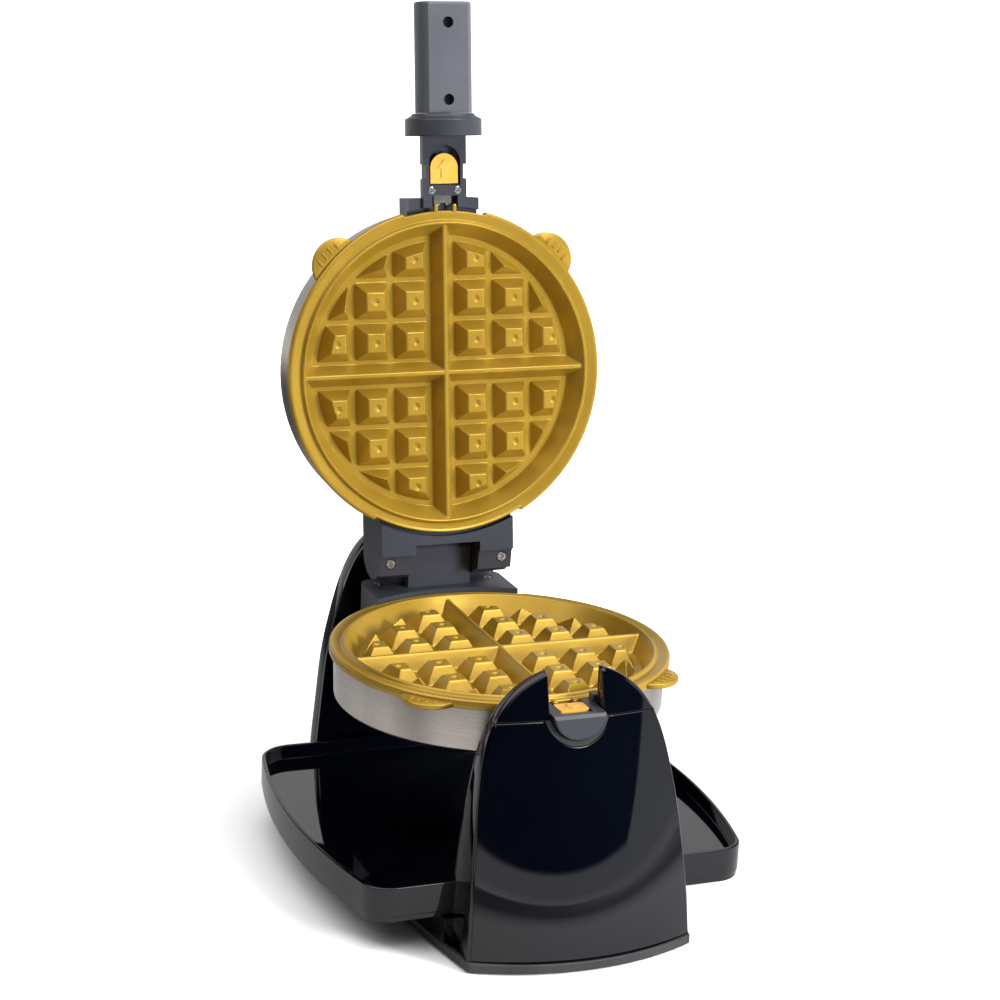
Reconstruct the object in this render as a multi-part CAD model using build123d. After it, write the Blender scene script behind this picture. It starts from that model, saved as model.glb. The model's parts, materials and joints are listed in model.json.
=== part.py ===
from build123d import *
import math
import os

# A flip-over round waffle maker: a two-part cooking head that turns between a
# front cradle tower and a rear hub tower, over a drip tray on a low base.
# Millimetres and degrees. X is the user's right, Y points away, Z is up.
#
# The head is drawn shut, in head coordinates: the origin is on the plates'
# centre line, in the plane where they meet. The lid is then swung open.

# ---- Driving dimensions: the whole machine ----
parting_height = 146.3
head_shift_y = -7.5
open_angle = 98.2
hinge_y = 117.0
hinge_z = 25.0

# ---- Grid plates ----
plate_gap = 0.2
flange_radius = 105.0
flange_skirt = 6.8
flange_thickness = 3.2
notched_radius = 103.0
lip_radius = 95.0
floor_radius = 87.2
cavity_depth = 12.8
floor_thickness = 3.0
feature_height = 10.3
peg_first = 20.6
peg_pitch = 26.0
peg_base = 23.0
peg_top = 11.2
peg_ring_radius = 83.6
tab_radius = 17.5
tab_centre = 99.0

# ---- Head shells and hinge ----
shell_radius = 102.4
shell_top = 3.8
shell_depth = 35.0
shell_wall = 0.9
dome_height = 3.0
hinge_half_width = 45.0
barrel_radius = 17.2
knuckle_half_width = 21.5
knuckle_radius = 5.8
pin_radius = 2.5
running_gap = 0.05
spindle_radius = 14.0

# ---- Latch, neck and handle ----
cradle_disc_radius = 16.2
neck_half_width = 14.5
handle_axis_z = 2.0
handle_half_width = 18.3
handle_half_height = 15.0
handle_flat = 10.5
handle_start = 164.0
handle_end = 233.0
handle_screw_y = (-172.4, -220.1)
handle_wall = 2.8
button_half_width = 9.2
button_travel = 3.5

# ---- Base, towers and tray ----
wall = 2.5
base_bottom = 1.5
base_seam = 7.5
deck_top = 23.0
base_bow = 86.0
front_inner_y = -112.5
front_inner_low_y = -119.5
rear_inner_y = 147.0
ledge_height = 46.5
seam_drop = 5.0
notch_half_width = 16.9
liner_radius = 20.4
front_foot_edge = -147.5
front_foot_crown = -164.5
rear_foot_edge = 162.0
rear_foot_crown = 178.5
rear_top_edge = 159.5
rear_top_crown = 161.5
lean_height = 190.0
lean_chord = 75.0
front_sections = [
    (0, -163.8, 0.00330), (45, -152.9, 0.00295), (85, -143.3, 0.00260),
    (141, -125.7, 0.00172), (165, -119.5, 0.00140), (190, -113.0, 0.00120),
]
front_half_outline = [(20, 21.3), (39.5, 9.5), (53.5, -13), (60.5, -42), (65.5, -80), (68.6, -120)]
rear_half_outline = [(22, 33), (40, 20), (50.5, 1), (58.5, -27), (64, -54), (67, -84), (70, -120)]
front_foot_half = 70.0
rear_foot_half = 71.0
front_crown = 25.0
rear_crown = 38.0
tray_half_width = 133.0
tray_corner_x = 117.0
tray_half_depth = 117.0
tray_bottom = 23.3
tray_rim = 44.6
tray_wall = 2.6
tray_floor = 2.4
tray_depth = 9.3
tray_front_radius = 10.0
tray_back_radius = 24.0

made = {}


def save(name, *solids):
    """Write one node: a single solid, or a group of identical ones."""
    parts = [s for shape in solids for s in shape.solids()]
    shape = parts[0] if len(parts) == 1 else Compound(children=parts)
    export_step(shape, f"parts/{name}.step")
    made[name] = len(parts)


def on_base(shape):
    """Base coordinates: plates' centre line in Y, table level in Z."""
    return Pos(0, head_shift_y, 0) * shape


def on_head(shape):
    return Pos(0, head_shift_y, parting_height) * shape


def on_lid(shape):
    """Swing a piece of the shut lid open about the hinge pin."""
    swing = Pos(0, hinge_y, hinge_z) * Rot(-open_angle, 0, 0) * Pos(0, -hinge_y, -hinge_z)
    return on_head(swing * shape)


def flipped(shape):
    """The upper half's twin of a piece drawn for the lower half."""
    return mirror(shape, about=Plane.XY)


def span(x, y, z):
    """A box between two values on each axis."""
    size = [high - low for low, high in (x, y, z)]
    middle = [(high + low) / 2 for low, high in (x, y, z)]
    return Pos(*middle) * Box(*size)


def post(radius, low, high, x=0.0, y=0.0):
    """An upright cylinder."""
    return Pos(x, y, (low + high) / 2) * Cylinder(radius, high - low)


def shaft(radius, low, high, x=0.0, z=0.0):
    """A cylinder along Y."""
    return Pos(x, (low + high) / 2, z) * Rot(90, 0, 0) * Cylinder(radius, high - low)


def axle(radius, low, high, y=0.0, z=0.0):
    """A cylinder along X."""
    return Pos((low + high) / 2, y, z) * Rot(0, 90, 0) * Cylinder(radius, high - low)


def turned(points):
    """Revolve a closed (radius, height) outline about Z."""
    outline = Plane.XZ * make_face(Polyline(*points, close=True))
    return revolve(outline, Axis.Z)


def cross_screw(head_radius, shank_radius, head, shank):
    """A pan-head screw pointing up from z = 0, with a cross recess below."""
    arm = head_radius * 1.2
    body = post(head_radius, 0, head) + post(shank_radius, head, head + shank)
    recess = Box(arm, head_radius * 0.28, head) + Box(head_radius * 0.28, arm, head)
    return body - recess


# ---- Grid plates ----

def pyramid(base, top, low, high, rounding):
    return loft([
        Pos(0, 0, low) * RectangleRounded(base, base, rounding),
        Pos(0, 0, high) * RectangleRounded(top, top, rounding / 2),
    ])


def peg_places():
    """Grid steps of the pegs in one quadrant: three by three without the far corner."""
    return [(i, j) for i in range(3) for j in range(3) if i + j < 4]


def around_quadrants(i, j):
    x = peg_first + peg_pitch * i
    y = peg_first + peg_pitch * j
    return [(x, y), (-x, y), (x, -y), (-x, -y)]


def grid_ridges(low, high):
    """The cross that divides the waffle into quarters."""
    section = Polyline((-6.7, low), (6.7, low), (1.1, high), (-1.1, high), close=True)
    ridge = extrude(Plane.XZ * make_face(section), amount=98, both=True)
    return ridge + Rot(0, 0, 90) * ridge


def grid_tab(angle):
    """A finger tab with plain grip ribs, at one front corner."""
    low = -6.4
    high = -3.4
    ear = post(tab_radius, low, high, tab_centre) - post(104, low - 1, high + 1)
    for offset in (-7.5, -2.5, 2.5, 7.5):
        reach = 110.5 - abs(offset) * 0.25
        ear += Pos(reach, offset, high) * Box(5.0, 1.4, 1.0)
    return Rot(0, 0, angle) * ear


def grid_plate():
    """One cast plate, cavity facing up, its rim just under the parting plane."""
    floor = -cavity_depth
    under = floor - floor_thickness
    top = floor + feature_height
    body = turned([
        (0, floor), (floor_radius, floor), (lip_radius - 0.5, -0.9), (lip_radius, 0),
        (lip_radius + 0.8, 0), (lip_radius + 2.4, -2.4), (flange_radius - 1.8, -1.2),
        (flange_radius - 0.6, -1.6), (flange_radius, -2.6),
        (flange_radius, -flange_skirt), (103.2, -flange_skirt), (103.2, -flange_thickness),
        (98.3, -flange_thickness), (90.2, under), (0, under),
    ])
    clip = Pos(0, 0, (floor + top) / 2) * Cone(peg_ring_radius, peg_ring_radius - 5, feature_height)
    pegs = []
    hollows = []
    for i, j in peg_places():
        for x, y in around_quadrants(i, j):
            pegs += (Pos(x, y) * pyramid(peg_base, peg_top, floor, top, 2.4) & clip).solids()
            if i + j < 3:
                hollows.append(Pos(x, y) * pyramid(17.2, 7.4, under - 0.1, top - 2.6, 1.6))
                hollows.append(Pos(x, y, top + 0.5) * Sphere(2.3))
    ridge_end = Pos(0, 0, (under + top) / 2) * Cone(86.4, 95.6, top - under)
    body += pegs
    body += grid_ridges(floor, top) & ridge_end & span((-99, 99), (-99, 99), (floor - 0.5, top))
    rim = post(flange_radius + 1, -10, 1) - post(notched_radius, -11, 2)
    body -= rim & span((-27.5, 27.5), (-110, -50), (-12, 3))
    body -= rim & span((-50, 50), (50, 110), (-12, 3))
    body += [grid_tab(-135), grid_tab(-45)]
    for x in (-6.2, 6.2):
        body += span((x - 1.2, x + 1.2), (-107.2, -102.0), (-flange_thickness, -0.6))
    body -= hollows
    return Pos(0, 0, -plate_gap) * body


# ---- Heads ----

def shell_outline(dome):
    """Outer outline of a head shell, from its middle out to its open rim."""
    low = -shell_depth
    return [
        (0, low - dome), (60, low - dome * 0.62), (99.6, low), (101.0, low + 0.6), (101.5, low + 2),
        (shell_radius, -shell_top),
    ]


def shell_profile(dome):
    """Thin steel cup with an inward rim."""
    low = -shell_depth
    inner = shell_radius - shell_wall
    return turned(shell_outline(dome) + [
        (99.2, -shell_top), (99.2, -shell_top - shell_wall),
        (inner - 0.1, -shell_top - shell_wall), (inner - 1.1, low + 4.2), (99.0, low + 1.9),
        (96.6, low + shell_wall), (60, low + shell_wall - dome * 0.62), (0, low + shell_wall - dome),
    ])


def head_shell(dome):
    """The brushed steel cup, with a slot for the plate catch and screw holes."""
    cup = shell_profile(dome)
    cup -= span((-7, 7), (-108, -95), (-8.2, -4.9))
    for x in (-18, 18):
        cup -= shaft(1.9, -108, -92, x, -17)
    return cup - shaft(6, 92, 108, 0, -20)


def heater_plate():
    """Aluminium plate under the grid, on three legs."""
    plate = post(84, -19.2, -16.4)
    for angle in (30, 150, 270):
        x = 70 * math.cos(math.radians(angle))
        y = 70 * math.sin(math.radians(angle))
        plate += post(4, -shell_depth + shell_wall, -19.2, x, y)
    return plate


def heating_element():
    """Tubular element: nearly a full ring, its cold ends leading to the rear."""
    section = Plane.XZ * Pos(58, -22.7) * Circle(3.3)
    ring = Rot(0, 0, 102) * revolve(section, Axis.Z, revolution_arc=336)
    for side in (-1, 1):
        x = side * 58 * math.cos(math.radians(78))
        ring += shaft(3.3, 56.0, 82, x, -22.7)
    return ring


def heat_pan():
    """Thin reflector dish below the element, clear of the plate's legs."""
    pan = turned([(0, -29.8), (88, -29.8), (94, -24), (93.4, -23.6), (87.6, -29.2), (0, -29.2)])
    for angle in (30, 150, 270):
        x = 70 * math.cos(math.radians(angle))
        y = 70 * math.sin(math.radians(angle))
        pan -= post(4.3, -40, -20, x, y)
    return pan


def thermostat():
    can = post(8, -26.5, -19.3, 30, -12)
    for x in (26, 34):
        can += span((x - 0.4, x + 0.4), (-15, -9), (-28.6, -26.5))
    return can


def thermal_fuse():
    return shaft(2.2, -22, -2, -30, -21.7) + shaft(0.6, -28, 4, -30, -21.7)


def hugging(outer, z_low, z_high, radius):
    """Cut a block back so that it wraps round the shell between two heights."""
    return outer - post(radius, z_low, z_high)


def lower_latch_block():
    """Front half-disc that turns in the cradle, with wings on the shell."""
    disc = shaft(cradle_disc_radius, -130.5, -101) & span((-30, 30), (-140, -100), (-20, -1.2))
    disc -= Pos(0, -130.5, -1.2) * Rot(45, 0, 0) * Box(40, 2.4, 2.4)
    wings = span((-23.7, 23.7), (-110.8, -98), (-26, -8.4))
    ears = [span((x - 3, x + 3), (-110.8, -104), (-12, 3.1)) for x in (-18.4, 18.4)]
    block = disc + wings + ears
    block = hugging(block, -40, -7.5, shell_radius + 0.3)
    block = hugging(block, -7.6, 3, 105.6)
    block -= span((-9.8, 9.8), (-125, -100), (-5.3, 0))
    block -= span((-6.6, 6.6), (-123, -100), (-7.0, -5.0))
    for x in (-18, 18):
        block -= shaft(1.7, -109, -98, x, -17)
    edge = shaft(cradle_disc_radius + 2, -132, -129.9) - shaft(cradle_disc_radius - 0.6, -133, -129)
    return block - edge


def latch_screws():
    """Two screws from inside the shell into the lower latch block."""
    screw = Rot(90, 0, 0) * cross_screw(3.2, 1.6, 2, 9)
    return [Pos(x, -96.2, -17) * screw for x in (-18, 18)]


def release_button(low_y, high_y, thickness, arch):
    """Sliding thumb button with a raised arrow, its face at z = 0, body below."""
    length = high_y - low_y
    middle = (high_y + low_y) / 2
    if arch:
        straight = span((-button_half_width, button_half_width), (low_y + 8, high_y), (-thickness, 0))
        crown = post(button_half_width, -thickness, 0, 0, low_y + button_half_width)
        body = straight + crown
    else:
        body = Pos(0, middle, -thickness) * extrude(
            RectangleRounded(2 * button_half_width, length, 1.5), amount=thickness)
    tip = low_y + length * 0.2
    neck = low_y + length * 0.5
    tail = low_y + length * 0.82
    arrow = Polyline((0, tip), (4.6, neck), (2.0, neck), (2.0, tail), (-2.0, tail), (-2.0, neck),
                     (-4.6, neck), close=True)
    return body + extrude(make_face(arrow), amount=0.5)


def lower_release_button():
    return Pos(0, 0, -1.1) * release_button(-120.6, -109.2, 3.8, False)


def lower_catch():
    """Steel tongue under the button that reaches back to the plate's lugs."""
    tongue = span((-6, 6), (-118, -106.2), (-6.4, -5.1))
    return tongue - span((-2, 2), (-107.6, -106), (-7, -5))


def coil_spring(start_y, z):
    """Return spring in the slot ahead of a catch."""
    coil = Helix(pitch=0.8, height=4.2, radius=0.55)
    section = Plane(coil @ 0, z_dir=coil % 0) * Circle(0.15)
    wire = sweep(section, path=coil)
    return Pos(0, start_y, z) * Rot(-90, 0, 0) * wire


def lower_hinge_block():
    """Rear block on the lower shell that carries the knuckle and the spindle."""
    block = span((-48, 48), (88, 134), (-32, 1.5))
    block = fillet(block.edges().filter_by(Axis.Z).group_by(Axis.Y)[-1], 8)
    block = hugging(block, -40, -7.5, shell_radius + 0.3)
    block = hugging(block, -7.6, 3, 103.6)
    block -= span((-knuckle_half_width - 0.1, knuckle_half_width + 0.1), (111.1, 122.9), (-20.1, 3))
    for x in (-38, 38):
        block -= post(3.3, -0.6, 3, x, 122) + post(1.6, -12, 3, x, 122)
    for x, z in spindle_screw_places():
        block -= shaft(1.6, 124, 135, x, z)
    return block


def hinge_knuckle():
    """Metal knuckle that stands on the lower half and carries the hinge pin."""
    leg = span((-knuckle_half_width, knuckle_half_width), (111.2, 122.8), (-20, hinge_z))
    eye = axle(knuckle_radius, -knuckle_half_width, knuckle_half_width, hinge_y, hinge_z)
    bore = axle(pin_radius + running_gap, -30, 30, hinge_y, hinge_z)
    return leg + eye - bore


def hinge_pin():
    return axle(pin_radius, -41, 41, hinge_y, hinge_z)


def block_screws():
    screw = Rot(180, 0, 0) * cross_screw(3.0, 1.5, 1.6, 9)
    return [Pos(x, 122, 1.1) * screw for x in (-38, 38)]


def spindle_screw_places():
    return [(-14.4, -9.6), (14.4, -9.6)]


def roll_spindle():
    """Hollow spindle that the whole head turns on; the wiring runs through it."""
    flange = shaft(20, 134.1, 137.4)
    for x, z in spindle_screw_places():
        flange -= shaft(1.8, 133, 139, x, z)
    tube = shaft(spindle_radius, 137.4, 158) - shaft(20, 151.0, 152.6)
    tube += shaft(12.8, 150.9, 152.7)
    return flange + tube - shaft(9, 134, 160)


def spindle_clip():
    ring = shaft(18, 151.1, 152.5) - shaft(12.85, 150, 154)
    return ring - span((-6, 6), (150, 154), (-20, 0))


def spindle_screws():
    screw = Rot(90, 0, 0) * cross_screw(2.4, 1.5, 1.8, 9)
    return [Pos(x, 139.3, z) * screw for x, z in spindle_screw_places()]


# ---- Lid pieces, drawn shut ----

def lid_hinge_outline(low, high):
    """Side view of the hinge housing: a barrel about the pin, and a body on the shell."""
    barrel = axle(barrel_radius, -hinge_half_width, hinge_half_width, hinge_y, hinge_z)
    body = span((-hinge_half_width, hinge_half_width), (60, hinge_y), (3.5, hinge_z + barrel_radius))
    body = fillet(body.edges().filter_by(Axis.Z).group_by(Axis.Y)[0], 14)
    band = Polyline((115, 3.5), (119, 6.4), (130, 9.0), (130, 20), (115, 20), close=True)
    lip = extrude(Plane.YZ * make_face(band), amount=hinge_half_width, both=True)
    shape = (barrel + body + lip) & span((-60, 60), (50, 140), (low, high))
    return shape - span((-22, 22), (110.8, 150), (0, hinge_z + 9.5))


def dome_cutter(grow):
    """The lid shell's outside, a little larger, for fitting the housing to it."""
    outside = [(r + (grow if r else 0), -z + grow) for r, z in shell_outline(dome_height)]
    return turned([(0, 0), (shell_radius + grow, 0)] + outside[::-1])


def lid_hinge_block():
    block = lid_hinge_outline(3.5, 31) - dome_cutter(0.25) - post(105.6, -5, 8, 0, 0)
    for x in (-38.1, 38.1):
        block -= post(3.5, 0, 9, x, 122.3) + post(1.5, 0, 19, x, 122.3)
    block -= axle(pin_radius, -41, 41, hinge_y, hinge_z)
    return block & span((-60, 60), (88, 140), (0, 60))


def lid_hinge_cover():
    """Upper cover of the housing, reaching onto the lid for the dial and lamps."""
    cover = lid_hinge_outline(31.1, 60) - dome_cutter(0.25)
    cover -= post(3.1, 30, 60, 0, 80)
    for x in (-28, 28):
        cover -= post(2.6, 30, 60, x, 80)
    return cover


def lid_hinge_screws():
    screw = cross_screw(3.0, 1.45, 1.8, 9)
    return [Pos(x, 122.3, 7.2) * screw for x in (-38.1, 38.1)]


def indicator_lamps():
    return [post(2.5, 40, 42.9, x, 80) + Pos(x, 80, 42.9) * Sphere(1.6) for x in (-28, 28)]


def browning_dial():
    """Low dial on the hinge cover, with a shaft and finger flutes."""
    knob = post(13, 42.8, 46.6, 0, 80) + post(9.5, 46.6, 47.4, 0, 80)
    for k in range(24):
        angle = math.radians(15 * k)
        knob -= post(0.9, 43.6, 47, 13.4 * math.cos(angle), 80 + 13.4 * math.sin(angle))
    knob -= span((-0.6, 0.6), (70, 79), (47, 48))
    return knob + post(3.0, 38.6, 42.8, 0, 80)


def upper_latch_block():
    """Neck between the lid and the handle, carrying the release button."""
    round_part = shaft(cradle_disc_radius, -149.7, -101) & span((-20, 20), (-150, -100), (1.2, 20))
    neck = round_part & span((-neck_half_width, neck_half_width), (-150, -100), (0, 20))
    neck -= span((12.4, 20), (-132, -123), (0, 20)) + span((-20, -12.4), (-132, -123), (0, 20))
    wings = [span((x - 7.5, x + 7.5), (-110.8, -98), (3.6, 22)) for x in (-16.1, 16.1)]
    block = neck + wings
    block = hugging(block, 7.5, 60, shell_radius + 0.3)
    block = hugging(block, -2, 7.6, 105.6)
    recess = post(10.4, 0, 5.7, 0, -133.6) + span((-10.4, 10.4), (-133.6, -119.0), (0, 5.7))
    block -= recess
    block -= span((-6.6, 6.6), (-141, -98), (5.6, 7.3))
    block -= span((-8.6, 8.6), (-112.4, -98), (0, 7.3))
    block -= span((-7.1, 7.1), (-150, -128), (9.2, 12.4))
    for x in (-8.7, 8.7):
        block -= post(2.7, 0, 3.0, x, -115.7) + post(1.4, 0, 10, x, -115.7)
    return block


def upper_latch_screws():
    screw = cross_screw(2.4, 1.3, 1.6, 6)
    return [Pos(x, -115.7, 1.35) * screw for x in (-8.7, 8.7)]


def upper_release_button():
    """Arch-topped button, face towards the plates."""
    return flipped(Pos(0, 0, -2.4) * release_button(-138.9, -120.0, 3.0, True))


def upper_catch():
    tongue = span((-6, 6), (-136, -106.2), (5.6, 6.8))
    return tongue - span((-2, 2), (-107.6, -106), (5, 7.2))


def grip_section(grow):
    """Oval handle section with one flat side, in the XZ plane."""
    oval = Ellipse(handle_half_width + grow, handle_half_height + grow)
    keep = Pos(0, handle_half_height / 2) * Rectangle(60, handle_half_height + 2 * (handle_flat + grow))
    return Plane.XZ * Pos(0, handle_axis_z) * (oval & keep)


def grip_body():
    """Hollow grip with a closed end; Plane.XZ extrudes towards the user."""
    solid = Pos(0, -handle_start, 0) * extrude(grip_section(0), amount=handle_end - handle_start)
    solid = fillet(solid.edges().group_by(Axis.Y)[0], 1.8)
    void = Pos(0, -handle_start + 1, 0) * extrude(
        grip_section(-handle_wall), amount=handle_end - handle_start - handle_wall + 1)
    return solid - void


def handle_grip():
    return grip_body() & span((-30, 30), (-240, -150), (-4, 30))


def handle_cover():
    """Flat side of the grip, with two deep screw wells."""
    cover = grip_body() & span((-30, 30), (-240, -150), (-20, -4.05))
    for y in handle_screw_y:
        cover += post(5, handle_axis_z - handle_flat, -1.6, 0, y)
        cover -= post(3.5, -12, -2.8, 0, y) + post(1.8, -12, 0, 0, y)
    return cover


def handle_core():
    """Steel tang from the neck to the handle's end."""
    bar = span((-7, 7), (-224, -128.2), (9.3, 12.3))
    for y in handle_screw_y:
        bar += post(4, 6.0, 9.3, 0, y)
        bar -= post(1.5, 5, 11.5, 0, y)
    return bar


def handle_screws():
    screw = cross_screw(3.2, 1.45, 2.2, 10.5)
    return [Pos(0, y, -5.0) * screw for y in handle_screw_y]


def handle_collar():
    """Round guard between neck and grip, flared towards the grip."""
    profile = [(0, 149.8), (23.9, 149.8), (24.3, 150.2), (24.3, 160.0), (23.9, 160.5), (20.6, 162.2),
               (19.2, 163.9), (0, 163.9)]
    face = make_face(Polyline(*[(r, -y) for r, y in profile], close=True))
    disc = Pos(0, 0, handle_axis_z + 1) * revolve(face, Axis.Y)
    return disc - span((-7.1, 7.1), (-170, -140), (9.2, 12.4))


# ---- Base and towers, in base coordinates ----

def arch_face(half_outline, crown, foot, inset):
    """Tower front view: a smooth arch, drawn at parting height, flat at the foot."""
    centre = -40.0
    half = [(foot, -parting_height)] + [(x, z) for x, z in reversed(half_outline)]
    half = [(x - inset, z if z < centre else z - inset * (z - centre) / 65) for x, z in half]
    points = [(x, z + parting_height) for x, z in half]
    top = (0, crown - inset + parting_height)
    edge = Spline(*points, top, *[(-x, z) for x, z in reversed(points)])
    return Plane.XZ * make_face([edge, Line(edge @ 1, edge @ 0)])


def bulged_wall(sections, chord, back):
    """A wall from (height, edge, crown) sections: its face curves in plan from edge to crown."""
    faces = []
    for z, edge, crown in sections:
        front = ThreePointArc((-chord, edge), (0, crown), (chord, edge))
        frame = Polyline((chord, edge), (chord, back), (-chord, back), (-chord, edge))
        faces.append(Pos(0, 0, z) * make_face([front, frame]))
    return loft(faces, ruled=len(faces) == 2)


def front_lean(inset):
    """Front tower's face: it leans back more and flattens as it rises."""
    sections = []
    for z, crown, bend in front_sections:
        sections.append((z, crown + bend * lean_chord ** 2 + inset, crown + inset))
    return bulged_wall(sections, lean_chord, -100)


def rear_lean(inset):
    foot = (0, rear_foot_edge - inset, rear_foot_crown - inset)
    top = (lean_height, rear_top_edge - inset, rear_top_crown - inset)
    return bulged_wall([foot, top], rear_foot_half, 130)


def front_volume(inset):
    """The front tower's outer volume, or the space inside its walls."""
    face = arch_face(front_half_outline, front_crown, front_foot_half, inset)
    arch = Pos(0, front_inner_y - wall - 0.1, 0) * extrude(face, amount=70)
    return arch & front_lean(inset)


def rear_volume(inset):
    face = arch_face(rear_half_outline, rear_crown, rear_foot_half, inset)
    arch = Pos(0, rear_inner_y + wall + 0.1, 0) * extrude(face, amount=-70)
    return arch & rear_lean(inset)


def notch(radius, side):
    """U-shaped opening for the head's front bearing."""
    return Pos(0, 0, parting_height) * (
        shaft(radius, -175, -100) + span((-side, side), (-175, -100), (0, 60)))


def front_shell_body():
    """Front tower walls, bottom and back open, with a wall round the notch."""
    void = front_volume(wall) - notch(liner_radius + wall, liner_radius + wall)
    shell = front_volume(0) - void - notch(liner_radius, liner_radius)
    shell -= span((-90, 90), (front_inner_low_y - wall - 0.1, -100), (0, ledge_height + wall + 0.1))
    return shell & span((-90, 90), (-170, -100), (base_seam, 200))


def front_tower_shell():
    seam = parting_height - seam_drop
    return front_shell_body() & span((-90, 90), (-170, -100), (0, seam))


def front_tower_cap(side):
    """One horn of the upper cap."""
    seam = parting_height - seam_drop + 0.3
    void = front_volume(wall) - notch(notch_half_width + wall, notch_half_width + wall)
    cap = front_volume(0) - void - notch(notch_half_width, notch_half_width)
    return cap & span(sorted((side * 10, side * 90)), (-170, -100), (seam, 200))


def front_inner_cover():
    """Wall that faces the head, stepped out over the tray's front edge."""
    face = arch_face(front_half_outline, front_crown, front_foot_half, 0)
    arch = Pos(0, -100, 0) * extrude(face, amount=40)
    plate = span((-90, 90), (front_inner_y - wall, front_inner_y), (ledge_height, 200))
    plate += span((-90, 90), (front_inner_low_y - wall, front_inner_y), (ledge_height, ledge_height + wall))
    plate += span((-90, 90), (front_inner_low_y - wall, front_inner_low_y), (base_seam, ledge_height + wall))
    return (plate & arch) - notch(notch_half_width, notch_half_width)


def cradle_liner():
    """Half-ring bearing surface in the bottom of the notch."""
    ring = shaft(liner_radius - 0.05, -140, front_inner_y - wall - 0.1) - shaft(notch_half_width, -150, -100)
    ring = Pos(0, 0, parting_height) * (ring & span((-30, 30), (-150, -100), (-30, -seam_drop)))
    return ring & front_lean(0.3)


def rear_shell_body():
    shell = rear_volume(0) - rear_volume(wall)
    return shell & span((-90, 90), (130, 190), (base_seam, 220))


def rear_tower_shell():
    """Back cover of the hub tower, with the mains cord's hole."""
    shell = rear_shell_body()
    for z in (64, 72, 80, 88):
        shell -= span((-26, 26), (150, 190), (z, z + 2.4))
    return shell - shaft(6.2, 150, 190, 38, 34)


def rear_inner_cover():
    face = arch_face(rear_half_outline, rear_crown, rear_foot_half, 0)
    arch = Pos(0, rear_inner_y, 0) * extrude(face, amount=-wall)
    plate = arch & span((-90, 90), (130, 190), (base_seam, 220))
    return plate - shaft(17.05, 140, 160, 0, parting_height)


def spindle_bush():
    """Flanged bearing for the head's spindle."""
    bush = shaft(17.0, rear_inner_y - 0.1, 150.4) + shaft(21.5, 144.6, rear_inner_y - 0.1)
    bore = shaft(spindle_radius + running_gap, 140, 160)
    return Pos(0, 0, parting_height) * (bush - bore)


def rear_hub_cap():
    """Round cap on the tower's back, over the end of the spindle."""
    cap = shaft(23, 158, 170.5, 0, parting_height)
    cap = fillet(cap.edges().group_by(Axis.Y)[-1], 2.5)
    cap -= shaft(16, 169.7, 172, 0, parting_height)
    cap += shaft(14.5, 165, 170.2, 0, parting_height)
    return cap - rear_lean(-0.02)


def base_outline(inset):
    """Plan of the base: bowed long sides, bulged front and rear."""
    near = front_foot_edge + inset
    far = rear_foot_edge - inset
    side = base_bow - inset
    left = ThreePointArc((inset - front_foot_half, near), (-side, 8), (inset - rear_foot_half, far))
    rear = ThreePointArc(left @ 1, (0, rear_foot_crown - inset), (rear_foot_half - inset, far))
    right = ThreePointArc(rear @ 1, (side, 8), (front_foot_half - inset, near))
    front = ThreePointArc(right @ 1, (0, front_foot_crown + inset), left @ 0)
    return make_face([left, rear, right, front])


def bottom_plate():
    """Shallow pan that closes the base from below."""
    pan = Pos(0, 0, base_bottom) * extrude(base_outline(0), amount=base_seam - base_bottom - 0.3)
    pan -= Pos(0, 0, base_bottom + wall) * extrude(base_outline(wall), amount=20)
    for x, y in screw_places():
        pan -= post(3.7, 0, base_bottom + 1.4, x, y) + post(2.0, 0, 6, x, y)
    for x in range(-24, 25, 8):
        pan -= span((x - 1.5, x + 1.5), (20, 60), (0, 6))
    return pan


def screw_places():
    return [(x, y) for x in (-62, 62) for y in (-86, 112)]


def base_deck():
    """Top of the base between the towers, under the tray."""
    between = span((-100, 100), (front_inner_low_y + 0.1, rear_inner_y - 0.1), (base_seam, deck_top))
    deck = (Pos(0, 0, base_seam) * extrude(base_outline(0.4), amount=deck_top - base_seam)) & between
    inside = span((-100, 100), (front_inner_low_y + wall, rear_inner_y - wall), (0, deck_top - wall))
    deck -= (extrude(base_outline(wall), amount=deck_top)) & inside
    for x, y in screw_places():
        deck += post(4.6, base_bottom + wall + 0.1, deck_top - wall, x, y)
        deck -= post(1.7, 0, deck_top - wall - 2, x, y)
    return deck


def base_screws():
    screw = cross_screw(3.4, 1.65, 1.2, 14)
    return [Pos(x, y, base_bottom + 0.1) * screw for x, y in screw_places()]


def rubber_feet():
    return [post(9, 0, base_bottom, x, y) for x, y in ((-52, -136), (52, -136), (-54, 150), (54, 150))]


def cord_gland():
    """Collar where the mains lead enters; the lead itself isn't part of the model."""
    outside = rear_lean(-0.02)
    tube = shaft(6.1, 165.0, 174.5, 38, 34) & outside
    head = shaft(8.2, 160.0, 174.5, 38, 34) - outside
    return tube + head - shaft(3.4, 150, 180, 38, 34)


def terminal_block():
    block = span((-16, 16), (rear_inner_y + wall + 0.1, 160), (96, 110))
    for x in (-10, 0, 10):
        block -= shaft(2.2, 152, 165, x, 103)
    return block


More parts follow.
